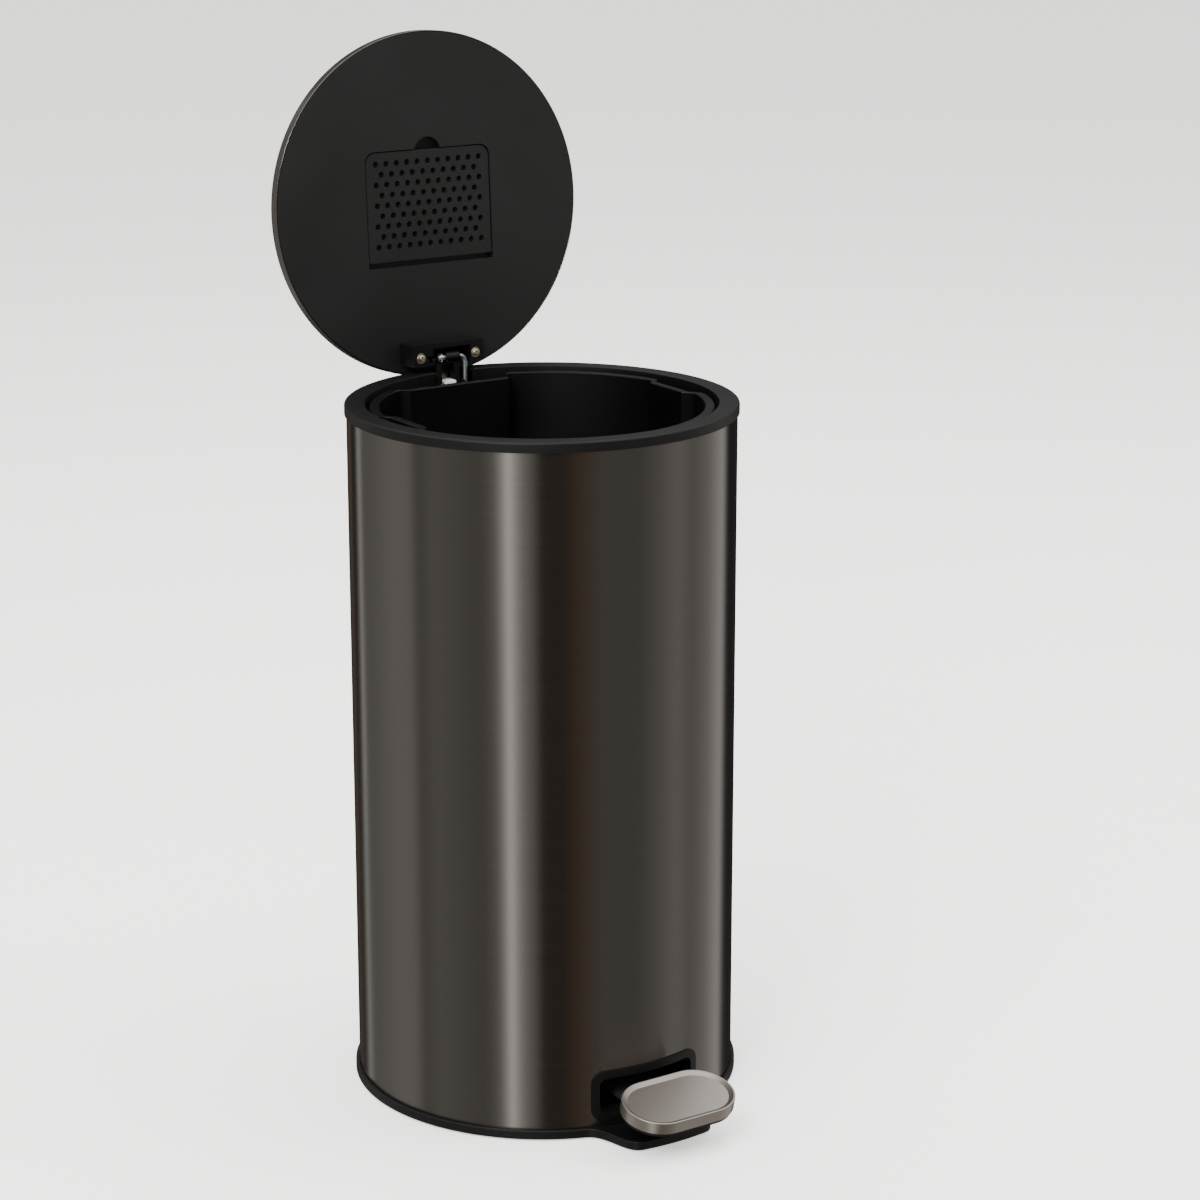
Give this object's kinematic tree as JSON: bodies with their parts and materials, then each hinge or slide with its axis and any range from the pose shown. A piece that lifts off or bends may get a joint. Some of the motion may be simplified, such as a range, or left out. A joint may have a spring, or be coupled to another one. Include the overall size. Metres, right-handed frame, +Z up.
{
  "type": "pedal bin",
  "caption": "Round kitchen waste bin with a hinged lid that a foot pedal lifts, a lift-out bucket and a vented filter compartment in the lid.",
  "frame": {"origin": "centre of the round body on the floor, at the underside of the middle foot", "axes": "+Z up, the pedal points along -Y, the lid hinge is at +Y"},
  "size_m": [0.3, 0.3928, 0.7968],
  "materials": {
    "dark_steel": "brushed, dark tinted stainless steel",
    "pale_steel": "brushed stainless steel",
    "zinc_steel": "bright zinc plated steel",
    "yellow_zinc": "yellow zinc plated steel",
    "black_plastic": "fine matt polypropylene",
    "panel_plastic": "satin polypropylene",
    "nylon": "natural nylon",
    "rubber": "soft matt rubber",
    "felt": "carbon-filled felt"
  },
  "bodies": {
    "body": {"outer_shell": "dark_steel", "shell_seam": "dark_steel", "top_ring": "black_plastic", "hinge_housing": "black_plastic", "hinge_bush": "nylon", "hinge_pin": "zinc_steel", "base_ring": "black_plastic", "base_plate": "black_plastic", "foot_pad_1": "rubber", "foot_pad_2": "rubber", "foot_pad_3": "rubber", "foot_pad_4": "rubber", "foot_pad_middle": "rubber", "axle_bracket_left": "zinc_steel", "axle_bracket_right": "zinc_steel", "pedal_axle": "zinc_steel", "pedal_bezel": "black_plastic"},
    "bucket": {"inner_bucket": "black_plastic"},
    "lid": {"lid_skin": "dark_steel", "lid_panel": "panel_plastic", "carbon_filter": "felt", "lid_hinge_bracket": "black_plastic", "rod_sleeve": "black_plastic", "bracket_screw_left": "yellow_zinc", "bracket_screw_right": "yellow_zinc", "screw_washer_left": "yellow_zinc", "screw_washer_right": "yellow_zinc"},
    "filter_cover": {"filter_cover": "panel_plastic"},
    "rod": {"lift_rod": "zinc_steel", "rod_retainer": "zinc_steel"},
    "pedal": {"pedal_lever": "zinc_steel", "pedal_cap": "pale_steel", "pedal_tray": "black_plastic", "pad_screw_left": "zinc_steel", "pad_screw_right": "zinc_steel"}
  },
  "joints": [
    {"name": "lid_hinge", "type": "hinge", "parent": "body", "child": "lid", "pos_m": [0, 0.1415, 0.522], "axis": [-1, 0, 0], "range_deg": [-93, 0]},
    {"name": "rod_pivot", "type": "hinge", "parent": "lid", "child": "rod", "pos_m": [0, 0.14, 0.5455], "axis": [1, 0, 0], "range_deg": [-93, 0]},
    {"name": "pedal_hinge", "type": "hinge", "parent": "body", "child": "pedal", "pos_m": [0, -0.042, 0.03], "axis": [1, 0, 0], "range_deg": [-8.8, 0]},
    {"name": "filter_cover_hinge", "type": "hinge", "parent": "lid", "child": "filter_cover", "pos_m": [0, 0.16299, 0.62251], "axis": [1, 0, 0], "range_deg": [0, 90]},
    {"name": "bucket_lift", "type": "slide", "parent": "body", "child": "bucket", "axis": [0, 0, 1], "range_m": [0, 0.6]}
  ],
  "couplings": [
    {"joint": "rod_pivot", "follows": "lid_hinge", "ratio": 1},
    {"joint": "pedal_hinge", "follows": "lid_hinge", "ratio": 0.0946}
  ]
}
